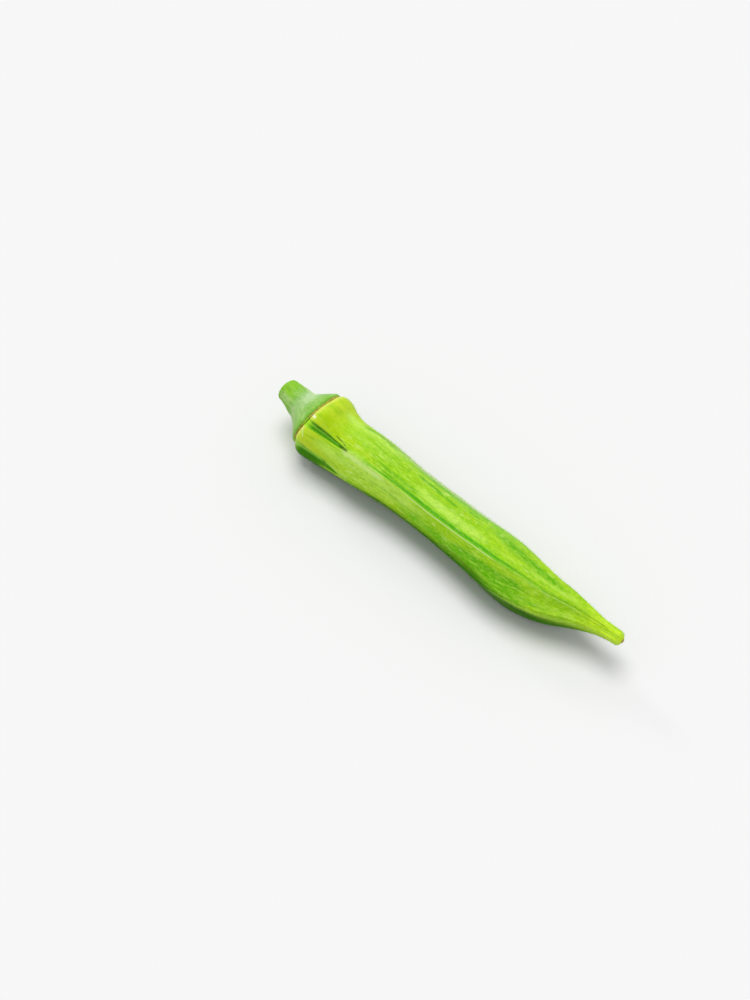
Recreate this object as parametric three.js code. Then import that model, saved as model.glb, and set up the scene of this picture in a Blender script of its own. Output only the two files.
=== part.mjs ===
// An okra pod, as picked, lying on a level surface. Millimetres, +Z up.
// +X runs from the cut stalk to the tip. The origin is on the surface, under the middle of the pod's box.
//
// The pod is a long six-ridged capsule, bowed a little and twisted towards its tip. A fine groove,
// where it would split when ripe, runs along the crest of each ridge. At the stalk end the faces
// between the ridges swell into rounded lobes, with a wedge open between most of them. The
// calyx has dropped off and has left a scar ring, behind which the cap narrows to the cut stalk.
// The pod lies on its lobes near the ring, and on its lowest face towards the tip.
import * as THREE from "three";

// ---- Driving dimensions ----
const LENGTH = 120; // cut stalk to tip, along the pod
const RING_AT = 13; // from the cut stalk to the scar ring
const RING_RADIUS = 8.75;
const SEAM = 0.3; // gap between the cap and the pod, at the scar
const REST_DEPTH = 0.3; // how far the spots that the pod lies on are flattened

// Half width of the pod, between the shoulder behind the ring and the start of the rounded end.
const SHOULDER = { x: 15.5, radius: 10.2 };
const TIP = { x: 118.2, radius: 1.95 };
const HALF_WIDTH = [
  [SHOULDER.x, SHOULDER.radius],
  [20, 9.2],
  [24, 8.55],
  [28, 8.45],
  [33, 8.35],
  [38, 7.95],
  [46, 7.32],
  [57, 7.2],
  [70, 7.7],
  [82, 8.5],
  [90.5, 7.65],
  [99, 5.95],
  [107, 3.75],
  [112.5, 2.45],
  [TIP.x, TIP.radius],
];

// How the pod's middle line leaves the straight: [along, sideways, up].
const MIDDLE_LINE = [
  [0, 0.8, 3.0],
  [7, -0.2, 2.8],
  [RING_AT, -0.35, 1.65],
  [SHOULDER.x, -0.6, 0.85],
  [20, -0.9, 0],
  [31, -0.9, 0],
  [57, -0.7, -0.2],
  [74, -1.1, -0.75],
  [87, -1.8, -1.2],
  [96, -1.4, -0.7],
  [104, -0.2, 0.3],
  [112, 0.4, 1.4],
  [LENGTH, 0.6, 2.2],
];
const BEND_SPAN = 4; // the pod's sections are square to its middle line over this length each way

// Where each ridge's crest stands, round the pod, starting with the one that is uppermost in front.
// 0 degrees is sideways, towards +Y, and 90 is up.
const RIDGES_DEG = [121, 177, 251, 312, 366, 421];
const TWIST_DEG = [
  [0, 10],
  [RING_AT, 10],
  [16, 5.5],
  [20, 3],
  [27, 3],
  [33, 0],
  [44, -1],
  [57, 0],
  [69, -3],
  [81, -10],
  [89, -16],
  [100, -18],
  [LENGTH, -25],
];

// How far a crest stands past the half width, and how flat the faces between crests are: 1 is flat,
// below 1 bulges, above 1 hollows.
const CREST = 1.05;
const CREST_ROUNDING_DEG = 5;
const FACE_FLATNESS = [
  [20, 0.7],
  [55, 0.8],
  [85, 1.0],
  [105, 1.4],
  [LENGTH, 1.0],
];
const LOBES_END = 20; // the lobes give way to ridges between these two places
const RIDGES_BEGIN = 36;
const LOBE_SWELL = 0.035; // of the radius, at the middle of a lobe

// The fine groove along each crest, and the wedge that is open between the lobes behind the ring.
const GROOVE = { halfWidth: 0.3, depth: 0.2, lip: 0.05, from: 30, fadesAt: 104 };
const WEDGE = { halfWidth: 1.4, depth: 1.7, length: 16 };
const WEDGE_WIDTHS = [1, 2.4, 0.6, 0.8, 0.4, 0]; // each ridge's share of the full wedge's width
const WEDGE_DEPTHS = [1, 0.9, 0.5, 0.7, 0.4, 0]; // and of its depth

// The cap and stalk, from the cut to the scar ring.
const STALK_RADIUS = 3.4;
const STALK_EDGE = 0.7; // rounding of the cut stalk's edge
const CAP = [
  [STALK_EDGE, STALK_RADIUS],
  [2.8, 3.65],
  [5.1, 4.15],
  [7.3, 4.6],
  [9.5, 6.25],
  [11.0, 7.8],
];
const SCAR = { width: 0.8, height: 0.3 }; // raised corky bead at the cap's edge

// How finely the surfaces are divided.
const FACE_STEPS = 3; // between a groove's lip and the middle of the next face
const POD_STEP = 2.5;
const CAP_SIDES = 42;

// ---- Curves ----
const smooth = THREE.MathUtils.smoothstep;
const radians = THREE.MathUtils.degToRad;

// A smooth curve through [place, value, ...] points, read by place.
function curve(points) {
  const size = points[0].length - 1;
  const places = points.map((p) => p[0]);
  const values = points.flatMap((p) => p.slice(1));
  const through = new THREE.CubicInterpolant(places, values, size);
  return (at) => Array.from(through.evaluate(THREE.MathUtils.clamp(at, places[0], places.at(-1))));
}

const middleAt = curve(MIDDLE_LINE);
const halfWidthAt = curve(HALF_WIDTH);
const flatnessAt = curve(FACE_FLATNESS);
const twistAt = curve(TWIST_DEG);
const capRadiusAt = curve([...CAP, [RING_AT - SCAR.width, RING_RADIUS]]);

function middle(x) {
  const [y, z] = middleAt(x);
  return new THREE.Vector3(x, y, z);
}

// The plane square to the middle line at x: its centre, its level direction and its upward one.
function plane(x) {
  const ahead = middle(Math.min(x + BEND_SPAN, LENGTH));
  const along = ahead.sub(middle(Math.max(x - BEND_SPAN, 0))).normalize();
  const side = new THREE.Vector3(0, 0, 1).cross(along).normalize();
  return { centre: middle(x), side, up: along.clone().cross(side) };
}

// A point at an angle (degrees) and a radius from the middle line, in one of those planes.
function around({ centre, side, up }, angle, radius) {
  return centre
    .clone()
    .addScaledVector(side, radius * Math.cos(radians(angle)))
    .addScaledVector(up, radius * Math.sin(radians(angle)));
}

// ---- Closed skins ----
// Joins rings of points, each with the same count, into a closed solid with a flat fan at each end.
function skin(rings) {
  const sides = rings[0].length;
  const middleOf = (ring) =>
    ring.reduce((sum, p) => sum.add(p), new THREE.Vector3()).divideScalar(sides);
  const points = [...rings.flat(), middleOf(rings[0]), middleOf(rings.at(-1))];
  const first = points.length - 2;
  const last = points.length - 1;
  const index = [];
  for (let i = 0; i < sides; i++) {
    const next = (i + 1) % sides;
    for (let r = 0; r + 1 < rings.length; r++) {
      const a = r * sides;
      const b = a + sides;
      index.push(a + i, a + next, b + next, a + i, b + next, b + i);
    }
    const end = (rings.length - 1) * sides;
    index.push(first, next, i, last, end + i, end + next);
  }
  const geometry = new THREE.BufferGeometry().setFromPoints(points);
  geometry.setIndex(index);
  geometry.computeVertexNormals();
  return geometry;
}

// ---- The pod ----
// Share of the way from lobes to ridges.
const ridgeShare = (x) => smooth(x, LOBES_END, RIDGES_BEGIN);

// Share of the wedge that is left at x: 1 at the ring, 0 where it has closed.
const wedgeLeft = (x) => THREE.MathUtils.clamp(1 - (x - RING_AT) / WEDGE.length, 0, 1);

// Share of the fine groove's full depth at x.
function grooveStrength(x) {
  const deepening = smooth(x, GROOVE.from, GROOVE.from + 12);
  const fading = smooth(x, GROOVE.fadesAt, LENGTH - 3);
  return deepening * (1 - fading);
}

function grooveHalfWidth(x, ridge) {
  const narrowing = 1 - 0.5 * smooth(x, GROOVE.fadesAt, LENGTH);
  const wedge = WEDGE.halfWidth * WEDGE_WIDTHS[ridge] * wedgeLeft(x) ** 0.7;
  return Math.hypot(GROOVE.halfWidth * narrowing, wedge);
}

function grooveDepth(x, ridge) {
  const wedge = WEDGE.depth * WEDGE_DEPTHS[ridge] * Math.sqrt(wedgeLeft(x));
  return GROOVE.depth * grooveStrength(x) + wedge;
}

// The groove's cut into the skin at a distance from its middle, given as a share of its half width.
// A low rib stays up along its floor, and its lips stand a little proud.
function grooveCut(share) {
  const floorRib = 0.75;
  const deepest = 0.55;
  if (share >= 1) return 0;
  return share < deepest
    ? THREE.MathUtils.lerp(floorRib, 1, share / deepest)
    : 1 - smooth(share, deepest, 1);
}

// Half the angle from a ridge's crest to the next one round, or to the one before it.
function halfFaces(ridge) {
  const count = RIDGES_DEG.length;
  const after = RIDGES_DEG[(ridge + 1) % count] - RIDGES_DEG[ridge];
  const before = RIDGES_DEG[ridge] - RIDGES_DEG[(ridge + count - 1) % count];
  return { after: ((after + 360) % 360) / 2, before: ((before + 360) % 360) / 2 };
}

// Radius of the pod's skin at x, off degrees round from a ridge's crest, on a face of this half angle.
function podRadius(x, size, ridge, off, halfFace) {
  const rounded = Math.hypot(off, CREST_ROUNDING_DEG) - CREST_ROUNDING_DEG;
  const flat = Math.cos(radians(halfFace)) / Math.cos(radians(halfFace - rounded));
  const ridged = CREST * flat ** flatnessAt(x)[0];
  const lobed = 1 - LOBE_SWELL * (0.5 + 0.5 * Math.cos((Math.PI * off) / halfFace));
  const skinRadius = size * THREE.MathUtils.lerp(lobed, ridged, ridgeShare(x));
  const share = (radians(off) * size) / grooveHalfWidth(x, ridge);
  const lip = GROOVE.lip * grooveStrength(x) * Math.exp(-(((share - 1.5) / 0.5) ** 2));
  return skinRadius - grooveDepth(x, ridge) * grooveCut(share) + lip;
}

// The angles from a ridge's crest to just short of the middle of the next face.
function angles(x, size, ridge, halfFace) {
  const edge = THREE.MathUtils.radToDeg(grooveHalfWidth(x, ridge) / size);
  const groove = Math.min(edge, 0.7 * halfFace);
  const lip = Math.min(1.6 * groove, 0.85 * halfFace);
  const list = [0, 0.55 * groove, groove, lip];
  for (let i = 1; i < FACE_STEPS; i++)
    list.push(THREE.MathUtils.lerp(lip, halfFace, i / FACE_STEPS));
  return list;
}

// One ring of the pod's skin, where its half width is size.
function podRing(x, size) {
  const at = plane(x);
  const ring = [];
  RIDGES_DEG.forEach((standing, ridge) => {
    const crest = standing + twistAt(x)[0];
    const { before, after } = halfFaces(ridge);
    const place = (off, halfFace, turn) => {
      const radius = podRadius(x, size, ridge, off, halfFace);
      ring.push(around(at, crest + turn * off, radius));
    };
    const backwards = angles(x, size, ridge, before).slice(1).reverse();
    [before, ...backwards].forEach((off) => place(off, before, -1));
    angles(x, size, ridge, after).forEach((off) => place(off, after, 1));
  });
  return ring;
}

function podSkin() {
  const rings = [];
  const face = RING_AT + SEAM / 2;
  for (const share of [0.5, 0.9]) rings.push(podRing(face, RING_RADIUS * share));
  // The shoulder rolls over from the ring to the pod's greatest width.
  const rollSteps = 6;
  for (let i = 0; i <= rollSteps; i++) {
    const turn = radians((90 * i) / rollSteps);
    const x = SHOULDER.x - (SHOULDER.x - face) * Math.cos(turn);
    rings.push(podRing(x, RING_RADIUS + (SHOULDER.radius - RING_RADIUS) * Math.sin(turn)));
  }
  const steps = Math.round((TIP.x - SHOULDER.x) / POD_STEP);
  for (let i = 1; i <= steps; i++) {
    const x = THREE.MathUtils.lerp(SHOULDER.x, TIP.x, i / steps);
    rings.push(podRing(x, halfWidthAt(x)[0]));
  }
  // The end is rounded off.
  for (const turn of [30, 55, 75]) {
    const x = TIP.x + (LENGTH - TIP.x) * Math.sin(radians(turn));
    rings.push(podRing(x, TIP.radius * Math.cos(radians(turn))));
  }
  return skin(rings);
}

// ---- The cap and stalk ----
function capRing(x, radius) {
  const at = plane(x);
  const ring = [];
  for (let i = 0; i < CAP_SIDES; i++) {
    const angle = (360 * i) / CAP_SIDES;
    const swell = smooth(x, CAP[3][0], RING_AT) * LOBE_SWELL * 0.4;
    const lobes = Math.cos(radians(RIDGES_DEG.length * (angle - RIDGES_DEG[0])));
    ring.push(around(at, angle, radius * (1 - swell * lobes)));
  }
  return ring;
}

function capSkin() {
  const rings = [];
  // The cut face, then its rounded edge.
  rings.push(capRing(0, STALK_RADIUS * 0.5));
  for (const turn of [0, 30, 60]) {
    const x = STALK_EDGE * (1 - Math.sin(radians(turn)));
    const radius = STALK_RADIUS - STALK_EDGE * (1 - Math.cos(radians(turn)));
    rings.splice(1, 0, capRing(x, radius));
  }
  const capEnd = RING_AT - SCAR.width;
  const capSteps = 11;
  for (let i = 1; i <= capSteps; i++) {
    const x = THREE.MathUtils.lerp(STALK_EDGE, capEnd, i / capSteps);
    rings.push(capRing(x, capRadiusAt(x)[0]));
  }
  // The scar's bead, then the face towards the pod.
  for (const turn of [45, 90, 135]) {
    const x = capEnd + (SCAR.width / 2) * (1 - Math.cos(radians(turn)));
    rings.push(capRing(x, RING_RADIUS + SCAR.height * Math.sin(radians(turn))));
  }
  const face = RING_AT - SEAM / 2;
  for (const share of [1, 0.5]) rings.push(capRing(face, RING_RADIUS * share));
  return skin(rings);
}

// ---- Lay it down ----
// Presses the spots that it lies on flat, and puts the origin under the middle of its box.
function layDown(geometries) {
  const box = new THREE.Box3();
  for (const g of geometries) {
    g.computeBoundingBox();
    box.union(g.boundingBox);
  }
  const floor = box.min.z + REST_DEPTH;
  const centre = box.getCenter(new THREE.Vector3());
  for (const g of geometries) {
    const at = g.getAttribute("position");
    for (let i = 0; i < at.count; i++) at.setZ(i, Math.max(at.getZ(i), floor));
    g.translate(-centre.x, -centre.y, -floor);
    g.computeVertexNormals();
  }
}

const podMaterial = new THREE.MeshStandardMaterial({ color: 0x86b81c, roughness: 0.45 });
const capMaterial = new THREE.MeshStandardMaterial({ color: 0x7fb35c, roughness: 0.55 });

const pod = new THREE.Mesh(podSkin(), podMaterial);
pod.name = "pod";
const cap = new THREE.Mesh(capSkin(), capMaterial);
cap.name = "stem_cap";
layDown([pod.geometry, cap.geometry]);

const okra = new THREE.Group();
okra.add(pod, cap);

export default okra;
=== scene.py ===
"""An okra pod, as picked, lying on a pale surface in soft studio light."""
import math

import bpy
import numpy as np
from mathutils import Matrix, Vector


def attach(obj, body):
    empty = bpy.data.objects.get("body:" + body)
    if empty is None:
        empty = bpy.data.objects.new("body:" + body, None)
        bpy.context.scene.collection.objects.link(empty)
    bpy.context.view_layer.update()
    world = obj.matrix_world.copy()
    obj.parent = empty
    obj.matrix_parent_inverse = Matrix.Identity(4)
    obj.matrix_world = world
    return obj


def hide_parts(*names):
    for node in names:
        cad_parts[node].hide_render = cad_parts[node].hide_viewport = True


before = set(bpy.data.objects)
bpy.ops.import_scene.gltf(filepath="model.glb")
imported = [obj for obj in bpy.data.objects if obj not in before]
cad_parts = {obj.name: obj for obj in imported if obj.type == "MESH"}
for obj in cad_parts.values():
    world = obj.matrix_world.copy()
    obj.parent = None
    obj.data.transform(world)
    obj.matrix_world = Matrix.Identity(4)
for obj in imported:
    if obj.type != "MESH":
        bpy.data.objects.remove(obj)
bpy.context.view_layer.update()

MM = 0.001
SEED = 7

# ---- The pod's form, in millimetres, from the same driving dimensions as the frame ----
LENGTH = 120
RING_AT = 13
RING_RADIUS = 8.75
SEAM = 0.3
REST_DEPTH = 0.3
SHOULDER_AT = 15.5
SHOULDER_RADIUS = 10.2
TIP_AT = 118.2
TIP_RADIUS = 1.95
HALF_WIDTH = [  # along, half width
    (SHOULDER_AT, SHOULDER_RADIUS),
    (20, 9.2),
    (24, 8.55),
    (28, 8.45),
    (33, 8.35),
    (38, 7.95),
    (46, 7.32),
    (57, 7.2),
    (70, 7.7),
    (82, 8.5),
    (90.5, 7.65),
    (99, 5.95),
    (107, 3.75),
    (112.5, 2.45),
    (TIP_AT, TIP_RADIUS),
]
MIDDLE_LINE = [  # along, sideways, up
    (0, 0.8, 3.0),
    (7, -0.2, 2.8),
    (RING_AT, -0.35, 1.65),
    (SHOULDER_AT, -0.6, 0.85),
    (20, -0.9, 0),
    (31, -0.9, 0),
    (57, -0.7, -0.2),
    (74, -1.1, -0.75),
    (87, -1.8, -1.2),
    (96, -1.4, -0.7),
    (104, -0.2, 0.3),
    (112, 0.4, 1.4),
    (LENGTH, 0.6, 2.2),
]
BEND_SPAN = 4
RIDGES_DEG = [121, 177, 251, 312, 366, 421]
RING_TWIST_DEG = 10
TWIST_DEG = [  # along, turn
    (0, RING_TWIST_DEG),
    (RING_AT, RING_TWIST_DEG),
    (16, 5.5),
    (20, 3),
    (27, 3),
    (33, 0),
    (44, -1),
    (57, 0),
    (69, -3),
    (81, -10),
    (89, -16),
    (100, -18),
    (LENGTH, -25),
]
CREST = 1.05
CREST_ROUNDING_DEG = 5
FACE_FLATNESS = [(20, 0.7), (55, 0.8), (85, 1.0), (105, 1.4), (LENGTH, 1.0)]
LOBES_END = 20
RIDGES_BEGIN = 36
LOBE_SWELL = 0.035
VEIN_HEIGHT = 0.02
SWELLING_HEIGHT = 0.06
CAP_RIB_HEIGHT = 0.05
GROOVE_HALF_WIDTH = 0.3
GROOVE_DEPTH = 0.2
GROOVE_LIP = 0.05
GROOVE_FROM = 30
GROOVE_FADES_AT = 104
WEDGE_HALF_WIDTH = 1.4
WEDGE_DEPTH = 1.7
WEDGE_LENGTH = 16
# Shares for each ridge, in the order of RIDGES_DEG.
WEDGE_WIDTHS = [1, 2.4, 0.6, 0.8, 0.4, 0]
WEDGE_DEPTHS = [1, 0.9, 0.5, 0.7, 0.4, 0]
GROOVE_GREENNESS = [0.9, 0.1, 0.6, 0.8, 0.5, 0.25]
STALK_RADIUS = 3.4
STALK_EDGE = 0.7
SCAR_WIDTH = 0.8
FLARE_AT = 7.3
CAP = [  # along, radius
    (STALK_EDGE, STALK_RADIUS),
    (2.8, 3.65),
    (5.1, 4.15),
    (FLARE_AT, 4.6),
    (9.5, 6.25),
    (11.0, 7.8),
    (RING_AT - SCAR_WIDTH, RING_RADIUS),
]

# ---- The scars where the calyx, the stalk and the style came away ----
SCAR_AT = RING_AT - 0.08
SCAR_RADIUS = 8.62
SCAR_HALF_WIDTH = 0.27
SCAR_RISE = 0.24
STYLE_RADIUS = 0.62
STYLE_RISE = 0.3
VEIN_BUNDLES = 17
CUT_INSETS = 24
CUT_INSET = 0.038  # share of the cut's radius

# ---- Streaks in the skin, with painted shade and painted highlights among them: strength, half width in mm, and (along, degrees round) that each follows ----
# Deep green streaks, mostly the skin's own. The ones along the lower side near 172 degrees, by the ring
# and from about 73 mm on, are painted shade.
DEEP_GREEN_AND_SHADE = [
    (0.85, 1.4, [(70, 73), (82, 79), (92, 81), (105, 79)]),
    (0.35, 0.8, [(78, 91), (88, 91), (97, 89)]),
    (0.35, 1.1, [(46, 60), (62, 62), (94, 63)]),
    (0.85, 1.6, [(40, 49), (59, 49), (80, 50)]),
    (0.9, 0.45, [(47, 71), (52, 72.5), (58, 74)]),
    (0.9, 0.4, [(53, 75), (58, 75.5), (64, 78)]),
    (0.75, 0.3, [(65, 71), (67.5, 70.5), (70, 71)]),
    (0.7, 0.65, [(33, 107), (44, 107), (56, 108)]),
    (1, 0.32, [(34, 112.5), (38, 114), (43, 116), (50, 117.5), (58, 118)]),
    (0.8, 1.7, [(42, 161), (60, 160), (80, 158), (100, 163)]),
    (0.65, 1.6, [(73, 172), (84, 173), (97, 175)]),
    (0.95, 1.1, [(66, 150), (80, 146), (89, 145), (96, 144)]),
    (0.45, 0.4, [(32, 80), (38, 80), (44, 79)]),
    (0.5, 0.45, [(36, 147), (43, 147), (49, 151)]),
    (0.5, 0.3, [(33.5, 124), (35, 123.5), (37, 124)]),
    (0.6, 0.35, [(93, 163), (96.5, 166), (100, 166)]),
    (0.95, 1.5, [(11.5, 172), (16, 171), (20.5, 177)]),
]
# Pale streaks, partly paler patches of the skin and partly painted sheen: soft light on the upper faces
# and past the first wedge's end, and the small whitish highlights at the end of the table.
PALE_AND_SHEEN = [
    (1, 1.3, [(27.2, 123), (30, 124), (35, 127), (44, 128)]),
    (0.6, 0.6, [(28, 121), (31, 124), (38, 128)]),
    (0.6, 0.8, [(38, 130), (45, 129), (54, 128)]),
    (0.75, 1.7, [(46, 98), (60, 103), (80, 106)]),
    (0.35, 1.0, [(76, 106), (86, 105), (94, 103)]),
    (0.55, 1.2, [(88, 100), (97, 96), (109, 93)]),
    (0.45, 1.1, [(38, 139), (50, 141), (62, 139)]),
    (0.4, 1.0, [(90, 164), (100, 164), (110, 163)]),
    (0.75, 2.1, [(15, 57), (30, 60), (46, 61)]),
    (0.6, 1.1, [(23, 169), (28, 170), (34, 170)]),
    (0.4, 0.8, [(78, 127), (88, 128), (98, 130)]),
    (0.7, 2.0, [(13, 140), (28, 142), (60, 145)]),
    (0.45, 0.9, [(30, 163), (40, 164), (48, 166)]),
    (0.4, 1.2, [(22, 82), (32, 86), (44, 91)]),
    (0.9, 0.3, [(48.6, 146), (50, 146), (51.6, 145)]),
    (0.9, 0.25, [(74.5, 141), (76, 140), (77.6, 139.5)]),
    (0.8, 0.25, [(33, 161.5), (34.8, 162.5), (37, 163)]),
    (0.8, 0.25, [(45, 96), (46.4, 96), (48, 96)]),
]
YELLOW = [
    (0.8, 1.8, [(11, 88), (20, 99), (28, 104), (34, 108)]),
    (0.8, 1.0, [(26, 101), (32, 107), (37, 111), (43, 113)]),
    (0.6, 0.8, [(63, 80), (67, 81), (71, 82)]),
    (0.35, 0.55, [(68, 159), (80, 157), (90, 156)]),
    (0.55, 1.5, [(26, 160), (42, 166), (72, 168)]),
    (0.6, 0.6, [(76, 131), (84, 131), (93, 132)]),
    (0.6, 0.6, [(84, 118), (96, 118), (112, 118)]),
]
# Thin dark lines. The second, at the first wedge's dark end, and the last, along the second wedge's
# upper edge, are painted shade. The rest are lines of the skin.
DARK_LINES_AND_SHADE = [
    (1, 0.15, [(22.4, 109.5), (25, 111.2), (27, 113.5), (29.2, 119)]),
    (1, 0.24, [(25.2, 121.4), (27.2, 122), (28.2, 122.4), (29.6, 123)]),
    (0.35, 0.15, [(28, 96), (30, 97), (32, 98)]),
    (0.6, 0.16, [(92, 124), (104, 124), (119.5, 124)]),
    (0.5, 0.14, [(97, 113), (109, 112), (119.5, 110)]),
    (0.45, 0.12, [(102, 97), (110, 96), (119.5, 94)]),
    (0.5, 0.14, [(99, 140), (109, 141), (119.5, 141)]),
    (0.45, 0.12, [(103, 160), (110, 158), (119.5, 160)]),
    (0.85, 0.4, [(14.5, 157), (18, 163), (21, 169), (25.5, 181)]),
]
# Thin pale lines, painted highlights: the groove's lower lip catching the light, and the lit lips and
# the fold's lit side by the wedges. The random ones added on the far sides are plain pale streaks.
BRIGHT_AND_HIGHLIGHT_LINES = [
    (0.95, 0.19, [(42, 125), (58, 127.6), (66, 127), (76, 126.3), (89, 124.5)]),
    (0.55, 0.2, [(86, 125), (98, 127), (104, 129.5), (112, 134)]),
    (0.6, 1.1, [(24, 127), (31, 128), (37, 130), (45, 130)]),
    (0.35, 0.2, [(25, 114), (27.4, 117), (29, 120)]),
    (0.5, 0.16, [(17, 169), (22, 180), (26, 191)]),
]
# Painted highlights: two small whitish glints on the lobes' corners beside the scar ring.
PAINTED_GLINTS = [
    (0.75, 0.5, [(12.4, 105), (13.2, 105.5), (15, 107)]),
    (0.5, 0.6, [(12.8, 130), (14.3, 138), (16, 146)]),
]

# ---- Where the cap's painted sheen lies, and where the pod's fuzz is whitest, partly painted sheen, in degrees about their middle line ----
SHEEN_AT_DEG = 62
SHEEN_HALF_WIDTH_DEG = 42
FROST_AND_SHEEN_AT_DEG = 402
FROST_AND_SHEEN_HALF_WIDTH_DEG = 24

# ---- Where random streaks are strewn over the far sides ----
FAR_SIDES_DEG = (190, 420)
FAR_STREAKS_BEGIN = (18, 88)  # along the pod
FAR_STREAK_LENGTH = (12, 30)

# ---- Where the painted shade of the underside begins, a darker green standing in for the shade under the pod: (along, degrees round) ----
UNDERSIDE_SHADE = [
    (RING_AT, 186),
    (19, 181),
    (24, 192),
    (28, 192),
    (33, 180),
    (36, 177),
    (50, 174),
    (66, 169),
    (80, 169),
    (86, 182),
    (94, 207),
    (102, 228),
    (LENGTH, 250),
]

# ---- How finely each skin is divided ----
GROOVE_COLUMNS = 9  # from a crest to the outside of its groove's lip
FACE_COLUMNS = 13  # from there to the middle of the next face
BODY_ROWS = 284
CAP_COLUMNS = 180
CAP_ROWS = 120
SCAR_SEGMENTS = 420
SCAR_SECTION = 20
CUT_CORNERS = 120
STUB_SEGMENTS = 48
STUB_RINGS = 24
WELD = 0.0002  # points nearer each other than this are joined

# ---- Flecks and hairs: how many, and how they vary, in mm where no other measure is named ----
FLECKS = 600
FLECKS_BETWEEN = (24, 98)  # along the pod
FLECK_STRENGTH = (0.15, 0.5)
FLECK_HALF_WIDTH = (0.16, 0.3)
FLECK_LENGTH = (1.2, 3.2)
HAIRS = 32000
HAIR_LENGTH = (0.35, 0.95)
HAIR_RADIUS = (0.014, 0.025)
HAIR_LEAN_DEG = (32, 14)  # the usual lean towards the tip, and how much it varies
HAIR_SWING_DEG = 28
HAIR_ROOT_DEPTH = 0.03
HAIR_CLEARANCE = 0.02  # hairs whose tips come nearer the floor than this are left out
BALD_MARGIN = 1  # beside the scar ring and at the tip

# ---- Camera, light and floor ----
LENS_MM = 85
CAMERA_AT = (0.22925, -0.27689, 0.5301)
CAMERA_HEIGHT_DEG = 55
CAMERA_TURN_DEG = 42.62
ROOM_LIGHT = 0.55
KEY_LIGHT = {"energy": 1.85, "spread": 40, "towards": (-0.2, 0.15, 1)}
GLINT_LIGHT = {"energy": 0.35, "spread": 12, "towards": (-0.9, 0.25, 0.4)}
FLOOR_METRES = 6
FLOOR_GAP = 0.01  # mm under the pod, so that the two never share a plane


# ---- Curves and sections ----
def curve(points):
    """A smooth curve through (place, value, ...) points, read at an array of places."""
    table = np.array(points, float)
    at, values = table[:, 0], table[:, 1:]
    last = len(at) - 1

    def read(x):
        x = np.clip(np.asarray(x, float), at[0], at[-1])
        i = np.clip(np.searchsorted(at, x, side="right"), 1, last)
        before = np.where(i > 1, i - 2, i)
        after = np.where(i < last, i + 1, i - 1)
        half = (at[i] - at[i - 1]) / 2
        lead = half / np.abs(at[i - 1] - at[before])
        trail = half / np.abs(at[after] - at[i])
        p = (x - at[i - 1]) / (at[i] - at[i - 1])
        weights = (
            (-lead * p**3 + 2 * lead * p**2 - lead * p, before),
            ((1 + lead) * p**3 - (1.5 + 2 * lead) * p**2 + (lead - 0.5) * p + 1, i - 1),
            (-(1 + trail) * p**3 + (1.5 + trail) * p**2 + 0.5 * p, i),
            (trail * p**3 - trail * p**2, after),
        )
        return sum(weight[..., None] * values[index] for weight, index in weights)

    return read


middle_at = curve(MIDDLE_LINE)
half_width_at = curve(HALF_WIDTH)
flatness_at = curve(FACE_FLATNESS)
twist_at = curve(TWIST_DEG)
cap_radius_at = curve(CAP)
underside_shade_at = curve(UNDERSIDE_SHADE)


def smooth(x, low, high):
    t = np.clip((x - low) / (high - low), 0, 1)
    return t * t * (3 - 2 * t)


def mix(a, b, share):
    return a + (b - a) * share


def hump(x, half_width, at=0):
    """1 at one place, and smoothly less on both sides of it."""
    return np.exp(-(((x - at) / half_width) ** 2))


def degrees_past(degrees, mark):
    """How far round an angle is from a mark, -180 to 180."""
    return (degrees - mark + 180) % 360 - 180


def unit(v):
    return v / np.linalg.norm(v, axis=-1, keepdims=True)


def middle(x):
    return np.concatenate([np.asarray(x, float)[..., None], middle_at(x)], axis=-1)


def around(x, degrees, radius):
    """Points at an angle and a radius from the middle line, in the section at x."""
    ahead = middle(np.minimum(x + BEND_SPAN, LENGTH))
    along = unit(ahead - middle(np.maximum(x - BEND_SPAN, 0)))
    side = unit(np.cross([0, 0, 1], along))
    up = np.cross(along, side)
    turn = np.radians(degrees)[..., None]
    return middle(x) + (side * np.cos(turn) + up * np.sin(turn)) * radius[..., None]


def streaks(x, degrees, size, table):
    """How strongly a skin shows the streaks of a table, 0 to 1."""
    clear = 1
    for strength, half_width, path in table:
        first, last = path[0][0], path[-1][0]
        fade = 0.25 * (last - first)
        ends = smooth(x, first, first + fade) * (1 - smooth(x, last - fade, last))
        across = np.radians(degrees_past(degrees, curve(path)(x[:, 0]))) * size
        clear = clear * (1 - strength * ends * hump(across, half_width))
    return 1 - clear


def random_streaks(rng, count, strength, half_width):
    """A table of streaks, strewn over the far sides, which the tables above leave nearly bare."""
    table = []
    for _ in range(count):
        start = rng.uniform(*FAR_STREAKS_BEGIN)
        degrees = rng.uniform(*FAR_SIDES_DEG)
        length = rng.uniform(*FAR_STREAK_LENGTH)
        drift = rng.normal(0, 5, 2)
        path = [(start, degrees), (start + length / 2, degrees + drift[0])]
        path.append((start + length, degrees + drift[1]))
        table.append((rng.uniform(*strength), rng.uniform(*half_width), path))
    return table


def flecks(rng, count):
    """A table of short pale streaks, strewn over the faces."""
    table = []
    for _ in range(count):
        start = rng.uniform(*FLECKS_BETWEEN)
        degrees = rng.uniform(0, 360)
        length = rng.uniform(*FLECK_LENGTH)
        path = [(start, degrees), (start + length, degrees + rng.normal(0, 0.6))]
        table.append((rng.uniform(*FLECK_STRENGTH), rng.uniform(*FLECK_HALF_WIDTH), path))
    return table


def waves(x, degrees, rng, count, cycles, length):
    """A smooth random field on a skin, about -1 to 1, that joins up round it.

    cycles is the range of waves round the skin, length how many mm they run before they drift."""
    total = 0
    for _ in range(count):
        phase, drift = rng.uniform(0, 2 * math.pi, 2)
        wander = 2 * np.sin(x / rng.uniform(*length) + drift)
        total = total + np.sin(rng.integers(*cycles) * np.radians(degrees) + phase + wander)
    return total / math.sqrt(count)


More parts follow.
